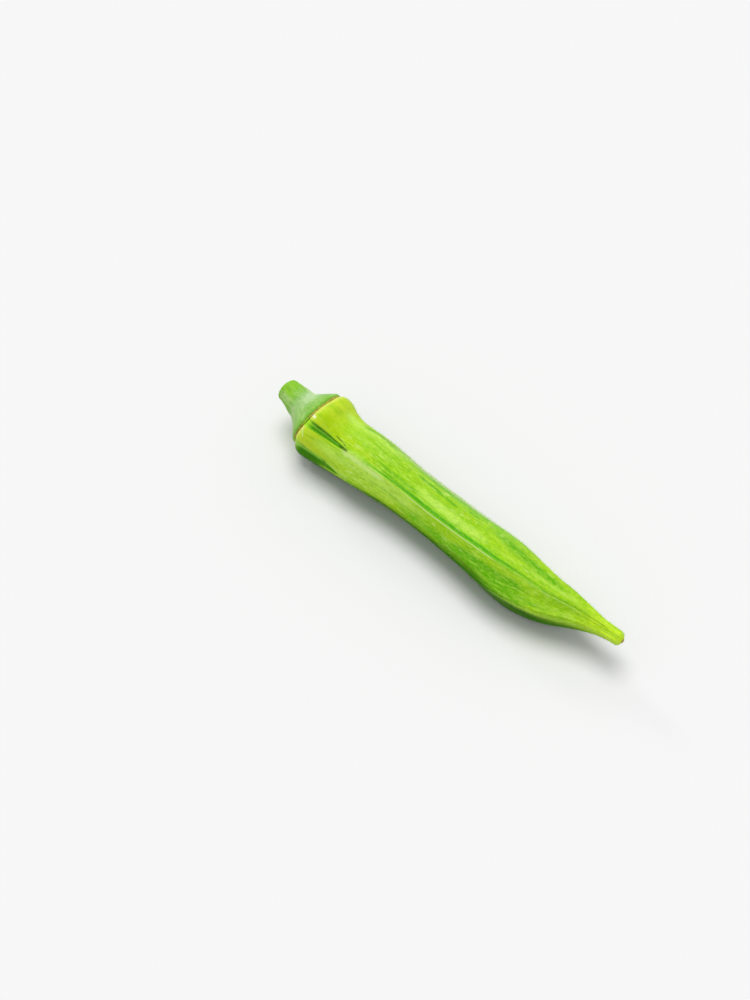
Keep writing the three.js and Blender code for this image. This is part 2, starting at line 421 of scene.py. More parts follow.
# ---- Mesh work ----
def start_editing(obj, mode):
    bpy.ops.object.select_all(action="DESELECT")
    bpy.context.view_layer.objects.active = obj
    obj.select_set(True)
    bpy.ops.object.mode_set(mode="EDIT")
    bpy.ops.mesh.select_mode(type=mode)
    bpy.ops.mesh.select_all(action="DESELECT")


def points_of(mesh):
    flat = np.empty(len(mesh.vertices) * 3)
    mesh.vertices.foreach_get("co", flat)
    return flat.reshape(-1, 3)


def write_field(mesh, name, values):
    kind, key = ("FLOAT_VECTOR", "vector") if values.ndim == 2 else ("FLOAT", "value")
    layer = mesh.attributes.new(name, kind, "POINT")
    layer.data.foreach_set(key, values.astype(float).ravel())


def face_outwards(obj):
    start_editing(obj, "FACE")
    bpy.ops.mesh.select_all(action="SELECT")
    bpy.ops.mesh.normals_make_consistent(inside=False)
    bpy.ops.object.mode_set(mode="OBJECT")


def sleeve(name, points, fields):
    """A closed skin from an array of points, row by row along the pod, and fields read there.

    A grid is wrapped round, joined along its seam and closed with a fan at each end."""
    rows, columns = points.shape[:2]
    bpy.ops.object.select_all(action="DESELECT")
    bpy.ops.mesh.primitive_grid_add(x_subdivisions=rows - 1, y_subdivisions=columns, size=1)
    obj = bpy.context.active_object
    obj.name = obj.data.name = name
    flat = points_of(obj.data)
    row = np.rint((flat[:, 0] + 0.5) * (rows - 1)).astype(int)
    column = np.rint((flat[:, 1] + 0.5) * columns).astype(int) % columns
    obj.data.vertices.foreach_set("co", (points[row, column] * MM).ravel())
    for field, values in fields.items():
        write_field(obj.data, field, values[row, column])
    start_editing(obj, "VERT")
    bpy.ops.mesh.select_all(action="SELECT")
    bpy.ops.mesh.remove_doubles(threshold=WELD * MM)
    bpy.ops.mesh.select_all(action="DESELECT")
    bpy.ops.mesh.select_mode(type="EDGE")
    bpy.ops.mesh.select_non_manifold()
    bpy.ops.mesh.edge_face_add()
    bpy.ops.mesh.poke()
    bpy.ops.mesh.select_all(action="SELECT")
    bpy.ops.mesh.normals_make_consistent(inside=False)
    bpy.ops.object.mode_set(mode="OBJECT")
    bpy.ops.object.shade_smooth()
    return obj


# ---- The pod's skin ----
def wedge_left(x):
    return np.clip(1 - (x - RING_AT) / WEDGE_LENGTH, 0, 1)


def groove_strength(x):
    return smooth(x, GROOVE_FROM, GROOVE_FROM + 12) * (1 - smooth(x, GROOVE_FADES_AT, LENGTH - 3))


def groove_half_width(x, share):
    narrowing = 1 - 0.5 * smooth(x, GROOVE_FADES_AT, LENGTH)
    wedge = WEDGE_HALF_WIDTH * share * wedge_left(x) ** 0.7
    return np.hypot(GROOVE_HALF_WIDTH * narrowing, wedge)


def groove_depth(x, share):
    rising = mix(0.1, 1, smooth(x, RING_AT, RING_AT + 3.5))  # the wedge's floor climbs to the scar
    wedge = WEDGE_DEPTH * share * np.sqrt(wedge_left(x)) * rising
    return GROOVE_DEPTH * groove_strength(x) + wedge


def groove_cut(across):
    """Share of the depth across a groove, from its middle: a low rib, the deepest line, the wall."""
    floor = mix(0.75, 1, np.clip(across / 0.55, 0, 1))
    return np.where(across < 0.55, floor, 1 - smooth(across, 0.55, 1))


def pod_columns():
    """Each column of the skin: its ridge, the side of the crest, half the face, its place on it."""
    inner = np.linspace(0, 1, GROOVE_COLUMNS + 1)
    outer = np.linspace(1, 2, FACE_COLUMNS + 1)[1:]
    places = np.concatenate([inner, outer])
    count = len(RIDGES_DEG)
    columns = []
    for ridge, here in enumerate(RIDGES_DEG):
        before = ((here - RIDGES_DEG[ridge - 1]) % 360) / 2
        after = ((RIDGES_DEG[(ridge + 1) % count] - here) % 360) / 2
        columns += [(ridge, -1, before, place) for place in places[:0:-1]]
        columns += [(ridge, 1, after, place) for place in places[:-1]]
    return np.array(columns).T


def pod_rows():
    """For each row of the skin: its place along the pod, its half width, and the share of it reached."""
    face = RING_AT + SEAM / 2
    inward = np.array([0.02, 0.3, 0.6, 0.8, 0.92])
    roll = np.radians(np.linspace(0, 90, 13))
    body = np.linspace(SHOULDER_AT, TIP_AT, BODY_ROWS + 1)[1:]
    end = np.radians([12, 24, 36, 48, 59, 69, 77, 83, 88])
    places = [
        np.full(len(inward), face),
        SHOULDER_AT - (SHOULDER_AT - face) * np.cos(roll),
        body,
        TIP_AT + (LENGTH - TIP_AT) * np.sin(end),
    ]
    widths = [
        np.full(len(inward), RING_RADIUS),
        mix(RING_RADIUS, SHOULDER_RADIUS, np.sin(roll)),
        half_width_at(body)[:, 0],
        TIP_RADIUS * np.cos(end),
    ]
    reach = np.ones(sum(map(len, places)))
    reach[: len(inward)] = inward
    return np.concatenate(places), np.concatenate(widths), reach


def pod_form():
    """The pod's skin, row by row: its plain form, its points, and what its finish reads there."""
    rng = np.random.default_rng(SEED)
    ridge, side, half_face, place = pod_columns()
    ridge = ridge.astype(int)
    x, size, reach = (values[:, None] for values in pod_rows())
    wide, deep = (np.array(shares)[ridge] for shares in (WEDGE_WIDTHS, WEDGE_DEPTHS))
    groove = groove_half_width(x, wide)
    lip_at = np.minimum(1.6 * np.degrees(groove / size), 0.85 * half_face)
    off = np.where(place <= 1, lip_at * place, mix(lip_at, half_face, place - 1))

    rounded = np.hypot(off, CREST_ROUNDING_DEG) - CREST_ROUNDING_DEG
    flat = np.cos(np.radians(half_face)) / np.cos(np.radians(half_face - rounded))
    ridged = CREST * flat ** flatness_at(x[:, 0])
    lobed = 1 - LOBE_SWELL * (0.5 + 0.5 * np.cos(np.pi * off / half_face))
    across = np.radians(off) * size / groove
    lip = hump(across, 0.5, at=1.5) * groove_strength(x)
    plain = size * mix(lobed, ridged, smooth(x, LOBES_END, RIDGES_BEGIN))
    plain += GROOVE_LIP * lip - groove_depth(x, deep) * groove_cut(across)

    straight = np.array(RIDGES_DEG)[ridge] + side * off
    # Veins and slight swellings, which die out at the two ends.
    steady = smooth(x, RING_AT + 1, RING_AT + 8) * (1 - smooth(x, 108, 117))
    veins = VEIN_HEIGHT * waves(x, straight, rng, 9, (34, 66), (7, 16))
    swellings = SWELLING_HEIGHT * waves(x, straight, rng, 6, (1, 6), (3, 9))
    radius = (plain + steady * (veins + swellings)) * reach

    turn = np.radians(straight)
    grain = [x, radius * np.cos(turn), radius * np.sin(turn)]
    wedge = smooth(wedge_left(x) * deep, 0, 0.1) * (1 - smooth(across, 0.8, 1.05))
    greens_and_shade = DEEP_GREEN_AND_SHADE + random_streaks(rng, 9, (0.4, 0.9), (0.5, 1.4))
    pales_and_sheen = PALE_AND_SHEEN + random_streaks(rng, 9, (0.3, 0.7), (0.7, 1.4))
    yellows = YELLOW + random_streaks(rng, 6, (0.3, 0.6), (0.6, 1.2))
    darks_and_shade = DARK_LINES_AND_SHADE + random_streaks(rng, 6, (0.3, 0.6), (0.12, 0.25))
    brights_and_highlights = BRIGHT_AND_HIGHLIGHT_LINES + random_streaks(rng, 6, (0.2, 0.4), (0.12, 0.2))
    specks = flecks(np.random.default_rng(SEED + 6), FLECKS)
    line_width = mix(0.8, 1.85, smooth(x, 46, 58) * (1 - 0.6 * smooth(x, 78, 90)))
    line = hump(across, line_width) * np.array(GROOVE_GREENNESS)[ridge] * groove_strength(x)
    # Painted shade: the share of darker green that stands in for the shade on the underside.
    under = straight - underside_shade_at(x[:, 0])
    under = smooth(under / mix(1, 2, smooth(x, 78, 94)), -16, 13) * (1 - smooth(straight, 335, 362))
    # Whiter along the upper back side: partly the fuzz's own pale colour, partly painted sheen.
    frost_and_sheen = hump(straight, FROST_AND_SHEEN_HALF_WIDTH_DEG, at=FROST_AND_SHEEN_AT_DEG)
    frost_and_sheen = frost_and_sheen * smooth(x, 30, 48) * (1 - smooth(x, 76, 94))
    fields = {
        "grain": np.stack(np.broadcast_arrays(*grain), axis=-1),
        "along": x / LENGTH + 0 * off,
        "groove": line * (1 - 0.7 * smooth(x, 76, 100)),
        "wedge": wedge,
        "wedge_floor": wedge * (1 - smooth(across, 0.2, 0.5)),
        "green": streaks(x, straight, size, greens_and_shade),
        "pale_and_sheen": streaks(x, straight, size, pales_and_sheen),
        "yellow": streaks(x, straight, size, yellows),
        "dark_line_and_shade": streaks(x, straight, size, darks_and_shade),
        "bright_and_highlight_line": streaks(x, straight, size, brights_and_highlights),
        "fleck": (1 - 0.9 * under) * streaks(x, straight, size, specks),
        "painted_glint": streaks(x, straight, size, PAINTED_GLINTS),
        "underside_shade": under,
        "frost_and_sheen": frost_and_sheen,
    }
    degrees = straight + twist_at(x[:, 0])
    return around(x, degrees, plain * reach), around(x, degrees, radius), fields


# ---- The cap's skin ----
def cap_form():
    """The cap's skin, row by row, from inside the cut stalk's rim to the face at the scar."""
    rng = np.random.default_rng(SEED + 1)
    edge = np.radians(np.linspace(90, 0, 9))
    scar = RING_AT - SCAR_WIDTH
    flare = np.linspace(STALK_EDGE, scar, CAP_ROWS + 1)[1:]
    inward = np.array([0.97, 0.8, 0.5, 0.02])
    places = [
        np.full(3, STALK_EDGE),
        STALK_EDGE * (1 - np.sin(edge)),
        flare,
        np.full(len(inward), RING_AT - SEAM / 2),
    ]
    widths = [
        (STALK_RADIUS - STALK_EDGE) * np.array([0.02, 0.5, 0.95]),
        STALK_RADIUS - STALK_EDGE * (1 - np.cos(edge)),
        cap_radius_at(flare)[:, 0],
        RING_RADIUS * inward,
    ]
    x = np.concatenate(places)[:, None]
    size = np.concatenate(widths)[:, None]

    degrees = np.linspace(0, 360, CAP_COLUMNS, endpoint=False)[None, :]
    lobes = np.cos(np.radians(len(RIDGES_DEG) * (degrees - RIDGES_DEG[0])))
    plain = size * (1 - smooth(x, FLARE_AT, RING_AT) * LOBE_SWELL * 0.4 * lobes)
    skin = smooth(size, STALK_RADIUS * 0.8, STALK_RADIUS)
    ribs = CAP_RIB_HEIGHT * waves(x, degrees, rng, 6, (7, 20), (3, 8))
    veins = VEIN_HEIGHT * waves(x, degrees, rng, 8, (30, 60), (2, 6))
    radius = plain + skin * (ribs + veins)
    turn = np.radians(degrees)
    grain = [x, radius * np.cos(turn), radius * np.sin(turn)]
    painted_sheen = hump(degrees_past(degrees, SHEEN_AT_DEG), SHEEN_HALF_WIDTH_DEG)
    fields = {
        "grain": np.stack(np.broadcast_arrays(*grain), axis=-1),
        "along": x / RING_AT + 0 * radius,
        "painted_sheen": (0.15 + 0.35 * painted_sheen) * smooth(x, 5.2, 8) * (1 - smooth(x, 8.6, 10.6)),
    }
    degrees = degrees + 0 * x
    return around(x, degrees, plain), around(x, degrees, radius), fields


# ---- The scars ----
def scar_ring(shift):
    """The thin uneven corky bead in the seam between cap and pod."""
    rng = np.random.default_rng(SEED + 2)
    bpy.ops.object.select_all(action="DESELECT")
    bpy.ops.mesh.primitive_torus_add(
        major_radius=1, minor_radius=0.1, major_segments=SCAR_SEGMENTS, minor_segments=SCAR_SECTION
    )
    ring = bpy.context.active_object
    ring.name = ring.data.name = "scar_ring"
    x, y, z = points_of(ring.data).T
    degrees = np.degrees(np.arctan2(y, x))
    section = np.arctan2(z, np.hypot(x, y) - 1)
    nought = 0 * degrees
    ragged = waves(nought, degrees, rng, 10, (3, 60), (1, 2))
    crumbs = waves(nought, degrees + 30 * section, rng, 8, (40, 130), (1, 2))
    thick = 1 + 0.28 * ragged + 0.1 * crumbs
    along = SCAR_AT + 0.08 * waves(nought, degrees, rng, 5, (2, 14), (1, 2))
    along += SCAR_HALF_WIDTH * np.maximum(thick, 0.5) * np.sin(section)
    radius = SCAR_RADIUS + SCAR_RISE * np.maximum(thick, 0.4) * np.cos(section)
    points = laid(around(along, degrees, radius), shift)
    ring.data.vertices.foreach_set("co", (points * MM).ravel())
    fresh = nought
    for ridge, share in zip(RIDGES_DEG, WEDGE_DEPTHS):
        across = degrees_past(degrees, ridge + RING_TWIST_DEG)
        fresh = np.maximum(fresh, share * hump(across, 8))
    write_field(ring.data, "fresh", fresh)
    face_outwards(ring)
    bpy.ops.object.shade_smooth()
    return ring


def cut_stem(shift):
    """The cut across the stalk: a dished disc of pith inside a ring of veins."""
    rng = np.random.default_rng(SEED + 3)
    bpy.ops.object.select_all(action="DESELECT")
    bpy.ops.mesh.primitive_circle_add(vertices=CUT_CORNERS, radius=1, fill_type="NGON")
    cut = bpy.context.active_object
    cut.name = cut.data.name = "cut_stem"
    start_editing(cut, "FACE")
    bpy.ops.mesh.select_all(action="SELECT")
    bpy.ops.mesh.extrude_region_move(TRANSFORM_OT_translate={"value": (0, 0, 1)})
    for _ in range(CUT_INSETS):
        bpy.ops.mesh.inset(thickness=CUT_INSET)
    bpy.ops.mesh.poke()
    bpy.ops.mesh.select_all(action="SELECT")
    bpy.ops.mesh.normals_make_consistent(inside=False)
    bpy.ops.object.mode_set(mode="OBJECT")
    x, y, z = points_of(cut.data).T
    share = np.hypot(x, y)
    degrees = np.degrees(np.arctan2(y, x))
    top = z > 0.5
    bundles = hump(share, 0.07, at=0.72) * (0.5 + 0.5 * np.cos(np.radians(degrees * VEIN_BUNDLES)))
    pith = 1 - smooth(share, 0.45, 0.62)
    torn = waves(share * 6, degrees, rng, 10, (0, 30), (0.5, 2))
    # How far the cut lies inside the stalk's end: dished at the pith, raised at the bundles and rim.
    depth = 0.12 + 0.16 * pith - 0.12 * bundles + 0.05 * torn - 0.1 * smooth(share, 0.85, 1)
    along = np.where(top, depth, 1.2)
    size = (STALK_RADIUS - STALK_EDGE * 0.75) * share
    points = laid(around(along, degrees, size), shift)
    cut.data.vertices.foreach_set("co", (points * MM).ravel())
    write_field(cut.data, "bundles", bundles)
    write_field(cut.data, "rim", smooth(share, 0.86, 0.97))
    face_outwards(cut)
    bpy.ops.object.shade_smooth_by_angle(angle=math.radians(50))
    return cut


def style_scar(shift):
    """The small brown stub at the tip, where the flower's style was."""
    rng = np.random.default_rng(SEED + 4)
    bpy.ops.object.select_all(action="DESELECT")
    bpy.ops.mesh.primitive_uv_sphere_add(segments=STUB_SEGMENTS, ring_count=STUB_RINGS, radius=1)
    stub = bpy.context.active_object
    stub.name = stub.data.name = "style_scar"
    x, y, z = points_of(stub.data).T
    degrees = np.degrees(np.arctan2(y, x))
    share = np.hypot(x, y)
    rough = waves(z * 3, degrees, rng, 10, (0, 14), (0.4, 1.5))
    dent = 0.5 * hump(share, 0.35) * (z > 0)
    along = LENGTH - 0.12 + STYLE_RISE * (z - dent + 0.12 * rough * share)
    radius = STYLE_RADIUS * share * (1 + 0.08 * rough)
    points = laid(around(along, degrees, radius), shift)
    stub.data.vertices.foreach_set("co", (points * MM).ravel())
    write_field(stub.data, "fresh", 0 * share)
    face_outwards(stub)
    bpy.ops.object.shade_smooth()
    return stub


# ---- The fuzz ----
def fuzz(points, along, crest, frost_and_sheen, shade):
    """Short stiff hairs all over the pod: one is modelled, then copied along the skin."""
    rng = np.random.default_rng(SEED + 5)
    bpy.ops.object.select_all(action="DESELECT")
    bpy.ops.mesh.primitive_cone_add(vertices=3, radius1=1, radius2=0, depth=1, location=(0, 0, 0.5))
    hair = bpy.context.active_object
    bpy.ops.object.transform_apply(location=True)
    start_editing(hair, "FACE")
    bpy.ops.mesh.select_all(action="SELECT")
    bpy.ops.mesh.quads_convert_to_tris()
    bpy.ops.object.mode_set(mode="OBJECT")
    form = points_of(hair.data)
    faces = np.array([face.vertices[:] for face in hair.data.polygons])
    bpy.ops.object.delete()

    right = np.roll(points, -1, axis=1)
    ahead = points[1:] - points[:-1]
    beside = (right - points)[:-1]
    normals = np.cross(beside, ahead)
    area = np.linalg.norm(normals, axis=-1)
    # Sparser near the ring and on the underside, and denser along the grooves.
    density = (0.25 + 0.75 * smooth(along[:-1], 24, 48)) * (1 + 1.2 * crest[:-1])
    hairy = (along[:-1] > RING_AT + BALD_MARGIN) * (along[:-1] < LENGTH - BALD_MARGIN)
    density = density * (1 - 0.6 * shade[:-1]) * hairy
    weight = (area * density).ravel()
    cell = rng.choice(weight.size, HAIRS, p=weight / weight.sum())
    row, column = np.unravel_index(cell, area.shape)
    a, b = rng.uniform(0, 1, (2, HAIRS, 1))
    root = points[row, column] + a * ahead[row, column] + b * beside[row, column]
    normal = unit(normals[row, column])
    forward = unit(ahead[row, column])
    across = np.cross(normal, forward)
    lean = np.radians(rng.normal(*HAIR_LEAN_DEG, (HAIRS, 1)))
    swing = np.radians(rng.normal(0, HAIR_SWING_DEG, (HAIRS, 1)))
    sideways = forward * np.cos(swing) + across * np.sin(swing)
    way = normal * np.cos(lean) + sideways * np.sin(lean)
    length = rng.uniform(*HAIR_LENGTH, (HAIRS, 1))
    radius = rng.uniform(*HAIR_RADIUS, (HAIRS, 1))
    first = unit(np.cross(way, across))
    second = np.cross(way, first)
    low = root - normal * HAIR_ROOT_DEPTH
    tips = low + way * length
    kept = tips[:, 2] > HAIR_CLEARANCE
    hairs = (
        low[:, None]
        + form[None, :, 0:1] * (first * radius)[:, None]
        + form[None, :, 1:2] * (second * radius)[:, None]
        + form[None, :, 2:3] * (way * length)[:, None]
    )[kept]
    count = len(hairs)
    index = faces[None] + (np.arange(count) * len(form))[:, None, None]
    mesh = bpy.data.meshes.new("fuzz")
    mesh.from_pydata((hairs.reshape(-1, 3) * MM).tolist(), [], index.reshape(-1, 3).tolist())
    write_field(mesh, "frost_and_sheen", np.repeat(frost_and_sheen[row, column][kept], len(form)))
    write_field(mesh, "shade", np.repeat(shade[row, column][kept], len(form)))
    coat = bpy.data.objects.new("fuzz", mesh)
    bpy.context.scene.collection.objects.link(coat)
    face_outwards(coat)
    return coat


# ---- Lay it down ----
def lay_down(forms):
    """The shift that puts the origin on the floor, under the middle of the pod's box."""
    corners = np.concatenate([form.reshape(-1, 3) for form in forms])
    low, high = corners.min(axis=0), corners.max(axis=0)
    return np.array([-(low[0] + high[0]) / 2, -(low[1] + high[1]) / 2, -(low[2] + REST_DEPTH)])


def laid(points, shift):
    """Points shifted to where the pod lies, and pressed flat where they would sink into the floor."""
    points = points + shift
    points[..., 2] = np.maximum(points[..., 2], 0)
    return points


# ---- Finishes ----
def srgb(red, green, blue):
    """A colour as it looks on screen, 0 to 255, as the light values that a shader takes."""
    shares = np.array([red, green, blue]) / 255
    light = np.where(shares <= 0.04045, shares / 12.92, ((shares + 0.055) / 1.055) ** 2.4)
    return (*map(float, light), 1.0)


class Finish:
    """A material and the nodes that its colour, roughness and relief come from."""

    def __init__(self, name):
        self.material = bpy.data.materials.new(name)
        self.material.use_nodes = True
        self.nodes = self.material.node_tree.nodes
        self.links = self.material.node_tree.links
        self.shader = self.nodes["Principled BSDF"]

    def join(self, value, socket):
        if isinstance(value, bpy.types.NodeSocket):
            self.links.new(value, socket)
        else:
            socket.default_value = value

    def field(self, name, output="Fac"):
        node = self.nodes.new("ShaderNodeAttribute")
        node.attribute_name = name
        return node.outputs[output]

    def object_place(self):
        return self.nodes.new("ShaderNodeTexCoord").outputs["Object"]

    def noise(self, place, stretch, scale, detail=3, roughness=0.5):
        spread = self.nodes.new("ShaderNodeMapping")
        self.join(place, spread.inputs["Vector"])
        spread.inputs["Scale"].default_value = stretch
        node = self.nodes.new("ShaderNodeTexNoise")
        self.join(spread.outputs[0], node.inputs["Vector"])
        node.inputs["Scale"].default_value = scale
        node.inputs["Detail"].default_value = detail
        node.inputs["Roughness"].default_value = roughness
        return node.outputs["Fac"]

    def cells(self, place, scale):
        node = self.nodes.new("ShaderNodeTexVoronoi")
        self.join(place, node.inputs["Vector"])
        node.inputs["Scale"].default_value = scale
        return node.outputs["Distance"]

    def ramp(self, value, low, high, start=0.0, end=1.0):
        """A number that goes smoothly from start to end while the value goes from low to high."""
        node = self.nodes.new("ShaderNodeMapRange")
        node.interpolation_type = "SMOOTHSTEP"
        numbers = (value, low, high, start, end)
        for socket, number in zip(node.inputs[:5], numbers):
            self.join(number, socket)
        return node.outputs[0]

    def maths(self, operation, a, b):
        node = self.nodes.new("ShaderNodeMath")
        node.operation = operation
        self.join(a, node.inputs[0])
        self.join(b, node.inputs[1])
        return node.outputs[0]

    def blend(self, share, a, b):
        node = self.nodes.new("ShaderNodeMix")
        node.data_type = "RGBA"
        self.join(share, node.inputs[0])
        self.join(a, node.inputs[6])
        self.join(b, node.inputs[7])
        return node.outputs[2]

    def relief(self, height, depth, under=None):
        node = self.nodes.new("ShaderNodeBump")
        self.join(height, node.inputs["Height"])
        node.inputs["Distance"].default_value = depth
        if under is not None:
            self.join(under, node.inputs["Normal"])
        return node.outputs[0]

    def set(self, **values):
        for name, value in values.items():
            self.join(value, self.shader.inputs[name.replace("_", " ")])


def pod_skin_finish():
    skin = Finish("pod_skin")
    grain = skin.field("grain", "Vector")
    along = skin.field("along")
    broad = skin.noise(grain, (0.04, 0.2, 0.2), 1.0, 2)
    bands = skin.noise(grain, (0.04, 1.0, 1.0), 0.5, 3, 0.6)
    fibres = skin.noise(grain, (0.09, 2.2, 2.2), 1.2, 4, 0.65)
    pale_fibres = skin.noise(grain, (0.1, 1.6, 1.6), 1.3, 4, 0.65)
    dashes = skin.noise(grain, (0.3, 1.8, 1.8), 1.1, 3, 0.6)
    mottle = skin.noise(grain, (0.3, 1.0, 1.0), 0.9, 3, 0.6)
    speckle = skin.noise(grain, (0.5, 1.0, 1.0), 1.7, 2, 0.55)

    def torn(name, give, low, high):
        """A streak whose edge follows the fibres."""
        edge = skin.maths("MULTIPLY", skin.maths("SUBTRACT", fibres, 0.5), give)
        return skin.ramp(skin.maths("ADD", skin.field(name), edge), low, high)

    calm = skin.ramp(along, 0.14, 0.27, 0.4, 1)

    def marks(pattern, low, high, most):
        """A pattern in the skin, which is fainter on the lobes."""
        return skin.maths("MULTIPLY", skin.ramp(pattern, low, high, 0, most), calm)

    colour = skin.blend(skin.ramp(broad, 0.35, 0.65), srgb(148, 205, 4), srgb(169, 214, 26))
    shoulder = skin.ramp(along, 0.26, 0.12, 0, 0.8)
    colour = skin.blend(shoulder, colour, srgb(200, 221, 46))
    colour = skin.blend(skin.ramp(along, 0.86, 0.97, 0, 0.8), colour, srgb(218, 246, 44))
    colour = skin.blend(skin.ramp(bands, 0.5, 0.68, 0, 0.5), colour, srgb(126, 192, 4))
    colour = skin.blend(torn("yellow", 0.4, 0.1, 0.95), colour, srgb(176, 212, 0))
    # Pale streaks, partly the skin's own and partly painted sheen and highlights.
    colour = skin.blend(torn("pale_and_sheen", 0.4, 0.1, 0.9), colour, srgb(192, 232, 92))
    # Deep green streaks, some of them painted shade on the lower side.
    colour = skin.blend(torn("green", 0.5, 0.1, 0.95), colour, srgb(88, 176, 0))
    colour = skin.blend(marks(mottle, 0.52, 0.68, 0.25), colour, srgb(118, 184, 0))
    colour = skin.blend(marks(mottle, 0.48, 0.34, 0.25), colour, srgb(192, 228, 84))
    colour = skin.blend(marks(fibres, 0.48, 0.68, 0.42), colour, srgb(108, 176, 0))
    colour = skin.blend(marks(pale_fibres, 0.48, 0.66, 0.42), colour, srgb(190, 229, 76))
    colour = skin.blend(marks(dashes, 0.6, 0.74, 0.6), colour, srgb(206, 234, 140))
    colour = skin.blend(marks(speckle, 0.5, 0.68, 0.3), colour, srgb(196, 232, 80))
    colour = skin.blend(marks(speckle, 0.48, 0.32, 0.3), colour, srgb(108, 178, 0))
    # Painted shade: darker greens on the underside, standing in for the shade under the pod.
    shaded = skin.blend(skin.ramp(bands, 0.38, 0.62), srgb(50, 108, 0), srgb(66, 122, 2))
    shaded = skin.blend(marks(pale_fibres, 0.48, 0.7, 0.4), shaded, srgb(96, 152, 18))
    shaded = skin.blend(marks(mottle, 0.5, 0.34, 0.3), shaded, srgb(84, 142, 8))
    colour = skin.blend(torn("underside_shade", 0.4, 0.1, 0.95), colour, shaded)
    # Partly painted sheen: the skin whitened a little where the fuzz catches the light.
    frost_and_sheen = skin.maths("MULTIPLY", skin.field("frost_and_sheen"), 0.15)
    colour = skin.blend(frost_and_sheen, colour, srgb(212, 232, 170))
    colour = skin.blend(skin.field("groove"), colour, srgb(58, 190, 0))
    rim = skin.ramp(along, 0.122, 0.111, 0, 0.7)
    colour = skin.blend(rim, colour, srgb(222, 226, 104))
    # The wedges: darker walls, partly painted shade, beside a brighter floor. They are paler at the
    # mouth by the scar ring, painted light where the recess lies in shade, and darker, painted shade,
    # where they run into the underside.
    wedge = skin.blend(skin.field("wedge_floor"), srgb(84, 168, 14), srgb(138, 212, 56))
    wedge = skin.blend(skin.ramp(along, 0.133, 0.112), wedge, srgb(168, 224, 48))
    wedge = skin.blend(skin.maths("MULTIPLY", skin.field("underside_shade"), 0.55), wedge, srgb(60, 120, 4))
    colour = skin.blend(skin.field("wedge"), colour, wedge)
    colour = skin.blend(torn("fleck", 0.3, 0.1, 0.8), colour, srgb(204, 234, 122))
    # Dark lines, partly the skin's own and partly painted shade at the wedges.
    colour = skin.blend(torn("dark_line_and_shade", 0.3, 0.2, 0.9), colour, srgb(60, 84, 4))
    # Pale lines, mostly painted highlights along lips that catch the light.
    colour = skin.blend(torn("bright_and_highlight_line", 0.3, 0.2, 0.9), colour, srgb(216, 240, 156))
    # Painted highlights: the whitish glints on the lobes' corners by the ring.
    colour = skin.blend(torn("painted_glint", 0.3, 0.2, 0.9), colour, srgb(242, 249, 210))

    pores = skin.cells(grain, 2.2)
    fine = skin.relief(fibres, 0.1 * MM)
    gloss = skin.ramp(along, 0.2, 0.12, 0, 0.12)
    skin.set(
        Base_Color=colour,
        Roughness=skin.maths("SUBTRACT", skin.ramp(mottle, 0.3, 0.7, 0.36, 0.5), gloss),
        Normal=skin.relief(skin.ramp(pores, 0.0, 0.4), 0.03 * MM, fine),
        Specular_IOR_Level=0.06,
        Subsurface_Weight=0.15,
        Subsurface_Scale=1.5 * MM,
        Subsurface_Radius=(0.7, 1.0, 0.2),
    )
    return skin.material


def cap_skin_finish():
    skin = Finish("cap_skin")
    grain = skin.field("grain", "Vector")
    along = skin.field("along")
    bands = skin.noise(grain, (0.15, 0.5, 0.5), 0.8, 3, 0.6)
    fibres = skin.noise(grain, (0.25, 1.6, 1.6), 1.2, 4, 0.65)
    mottle = skin.noise(grain, (1.0, 1.0, 1.0), 1.6, 4, 0.6)
    green = skin.blend(skin.ramp(along, 0.55, 0.2), srgb(140, 190, 88), srgb(134, 192, 34))
    green = skin.blend(skin.ramp(bands, 0.45, 0.65, 0, 0.7), green, srgb(176, 208, 132))
    green = skin.blend(skin.ramp(fibres, 0.46, 0.66, 0, 0.7), green, srgb(96, 168, 34))
    green = skin.blend(skin.ramp(mottle, 0.5, 0.75, 0, 0.45), green, srgb(176, 210, 130))
    # Painted sheen: a paler band round the cap's flare, strongest on its upper flank.
    green = skin.blend(skin.field("painted_sheen"), green, srgb(212, 228, 196))
    green = skin.blend(skin.ramp(along, 0.84, 0.97, 0, 0.6), green, srgb(124, 190, 30))
    fine = skin.relief(fibres, 0.1 * MM)
    skin.set(
        Base_Color=green,
        Roughness=skin.ramp(mottle, 0.3, 0.7, 0.42, 0.6),
        Normal=skin.relief(mottle, 0.05 * MM, fine),
        Subsurface_Weight=0.12,
        Subsurface_Scale=1.2 * MM,
        Subsurface_Radius=(0.7, 1.0, 0.3),
        Specular_IOR_Level=0.15,
    )
    return skin.material


def cork_finish():
    cork = Finish("scar_cork")
    place = cork.object_place()
    crumbs = cork.noise(place, (1, 1, 1), 1.6 / MM, 5, 0.65)
    patches = cork.noise(place, (1, 1, 1), 0.35 / MM, 2)
    colour = cork.blend(cork.ramp(crumbs, 0.35, 0.65), srgb(140, 112, 28), srgb(198, 184, 84))
    colour = cork.blend(cork.ramp(patches, 0.45, 0.65, 0, 0.6), colour, srgb(166, 178, 48))
    colour = cork.blend(cork.field("fresh"), colour, srgb(150, 196, 44))
    cork.set(
        Base_Color=colour,
        Roughness=0.75,
        Normal=cork.relief(crumbs, 0.12 * MM),
        Specular_IOR_Level=0.25,
    )
    return cork.material


